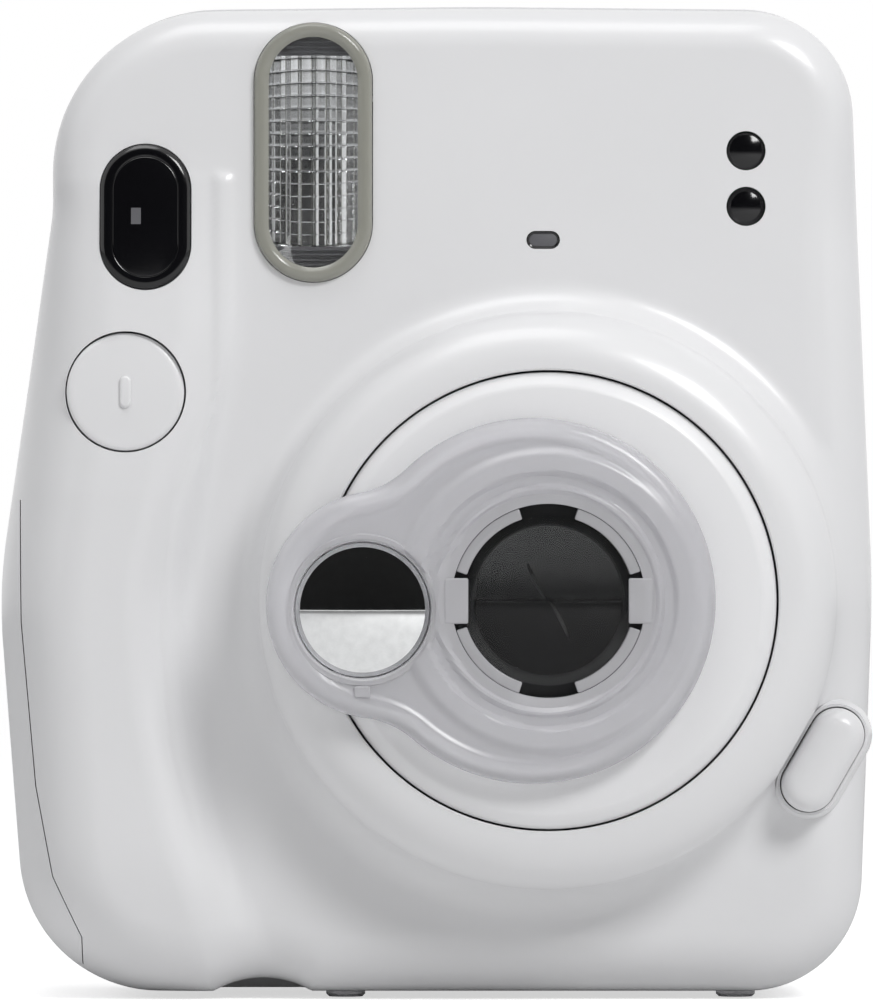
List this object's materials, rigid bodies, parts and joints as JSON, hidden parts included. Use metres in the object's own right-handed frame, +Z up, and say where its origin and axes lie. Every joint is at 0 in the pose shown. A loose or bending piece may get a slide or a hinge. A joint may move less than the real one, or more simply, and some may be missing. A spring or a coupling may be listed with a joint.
{
  "type": "instant camera",
  "caption": "Compact instant-film camera with a pull-out lens barrel, built-in flash, loaded film pack and a clip-on close-up lens with mirror.",
  "frame": {"origin": "centre of the bounding box at the bottom of the feet", "axes": "+Z up; the lens looks along -Y; +X to the right as seen from in front of the lens"},
  "size_m": [0.107, 0.0718, 0.1221],
  "materials": {
    "casing": "smooth pale moulded plastic with a soft gloss",
    "lens_ring": "white moulded plastic",
    "frosted": "frosted translucent plastic",
    "mirror": "polished convex mirror",
    "clear": "clear lens plastic",
    "smoke": "grey tinted clear plastic with ribs",
    "reflector": "bright metallised plastic",
    "tube_glass": "clear flash tube",
    "gloss_black": "gloss black",
    "matt_black": "matt black moulded plastic",
    "counter_white": "white with marks",
    "steel": "plated steel",
    "roller_rubber": "rubber on a steel shaft",
    "grey_plastic": "grey moulded plastic",
    "board": "green laminate",
    "capacitor": "sleeved can",
    "cell": "printed steel can, plain"
  },
  "bodies": {
    "root": {"front_shell": "casing", "rear_shell": "casing", "strap_bar": "steel", "inner_chassis": "matt_black", "barrel_sleeve": "matt_black", "film_pack": "matt_black", "roller_bracket": "steel", "drive_motor": "steel", "gearbox": "matt_black", "door_hinge_pins": "steel", "flash_window": "smoke", "flash_reflector": "reflector", "flash_tube": "tube_glass", "viewfinder_window": "gloss_black", "viewfinder_tube": "matt_black", "viewfinder_eyecup": "matt_black", "viewfinder_eyepiece": "clear", "circuit_board": "board", "light_sensor_lens": "gloss_black", "flash_sensor_lens": "gloss_black", "indicator_window": "gloss_black", "flash_capacitor": "capacitor", "shutter_spring": "steel", "power_spring": "steel", "battery_tray": "grey_plastic", "battery_cells": "cell", "battery_contacts": "steel", "counter_post": "matt_black", "counter_window": "clear", "feet": "matt_black"},
    "barrel": {"lens_barrel": "lens_ring"},
    "focus_ring": {"front_ring": "lens_ring", "cover_plate": "matt_black", "lens_cell": "matt_black", "front_lens_element": "clear", "rear_lens_element": "clear", "shutter_plate": "matt_black"},
    "cover_left": {"lens_cover_left": "matt_black"},
    "cover_right": {"lens_cover_right": "matt_black"},
    "closeup": {"closeup_body": "frosted", "closeup_mirror": "mirror", "closeup_lens": "clear"},
    "shutter_release": {"shutter_button": "casing"},
    "power_switch": {"power_button": "casing"},
    "film_door": {"back_door": "casing", "film_window": "clear", "pack_springs": "steel"},
    "latch": {"door_latch": "grey_plastic"},
    "battery_lid": {"battery_cover": "casing"},
    "front_roller": {"front_eject_roller": "roller_rubber"},
    "rear_roller": {"rear_eject_roller": "roller_rubber"},
    "pinion": {"output_pinion": "grey_plastic"},
    "flap": {"exit_flap": "casing"},
    "counter": {"counter_wheel": "counter_white"}
  },
  "joints": [
    {"name": "barrel_slide", "type": "slide", "parent": "root", "child": "barrel", "axis": [0, -1, 0], "range_m": [0, 0.013]},
    {"name": "focus_slide", "type": "slide", "parent": "barrel", "child": "focus_ring", "axis": [0, -1, 0], "range_m": [0, 0.005]},
    {"name": "cover_left_swing", "type": "hinge", "parent": "focus_ring", "child": "cover_left", "pos_m": [0.0197, -0.0278, 0.03732], "axis": [0, -1, 0], "range_deg": [0, 48.5]},
    {"name": "cover_right_swing", "type": "hinge", "parent": "focus_ring", "child": "cover_right", "pos_m": [0.0075, -0.0272, 0.06028], "axis": [0, -1, 0], "range_deg": [0, 48.5]},
    {"name": "closeup_pull", "type": "slide", "parent": "focus_ring", "child": "closeup", "axis": [0, -1, 0], "range_m": [0, 0.02]},
    {"name": "shutter_press", "type": "slide", "parent": "root", "child": "shutter_release", "axis": [0, 1, 0], "range_m": [0, 0.0015], "stiffness_N_per_m": 200, "deforming": ["shutter_spring"]},
    {"name": "power_press", "type": "slide", "parent": "root", "child": "power_switch", "axis": [0, 1, 0], "range_m": [0, 0.0012], "stiffness_N_per_m": 200, "deforming": ["power_spring"]},
    {"name": "door_swing", "type": "hinge", "parent": "root", "child": "film_door", "pos_m": [0.0497, 0.0329, 0.06], "axis": [0, 0, -1], "range_deg": [0, 100]},
    {"name": "latch_slide", "type": "slide", "parent": "film_door", "child": "latch", "axis": [0, 0, -1], "range_m": [0, 0.004], "stiffness_N_per_m": 60, "springref_m": -0.001},
    {"name": "battery_cover_pull", "type": "slide", "parent": "root", "child": "battery_lid", "axis": [-1, 0, 0], "range_m": [0, 0.025]},
    {"name": "front_roller_spin", "type": "hinge", "parent": "root", "child": "front_roller", "pos_m": [0.0136, 0.01075, 0.1141], "axis": [1, 0, 0], "continuous": true},
    {"name": "rear_roller_spin", "type": "hinge", "parent": "root", "child": "rear_roller", "pos_m": [0.0136, 0.01625, 0.1141], "axis": [1, 0, 0], "continuous": true},
    {"name": "pinion_spin", "type": "hinge", "parent": "root", "child": "pinion", "pos_m": [-0.021, 0.01884, 0.1097], "axis": [1, 0, 0], "continuous": true},
    {"name": "flap_lift", "type": "hinge", "parent": "root", "child": "flap", "pos_m": [0.0136, 0.0169, 0.1209], "axis": [-1, 0, 0], "range_deg": [0, 60]},
    {"name": "counter_turn", "type": "hinge", "parent": "root", "child": "counter", "pos_m": [-0.033, 0.028, 0.069], "axis": [0, 1, 0], "range_deg": [0, 300]}
  ],
  "couplings": [
    {"joint": "cover_left_swing", "follows": "barrel_slide", "rad_per_m": 64.443},
    {"joint": "cover_right_swing", "follows": "barrel_slide", "rad_per_m": 64.443},
    {"joint": "rear_roller_spin", "follows": "front_roller_spin", "ratio": -1},
    {"joint": "pinion_spin", "follows": "front_roller_spin", "ratio": 1.1667}
  ]
}
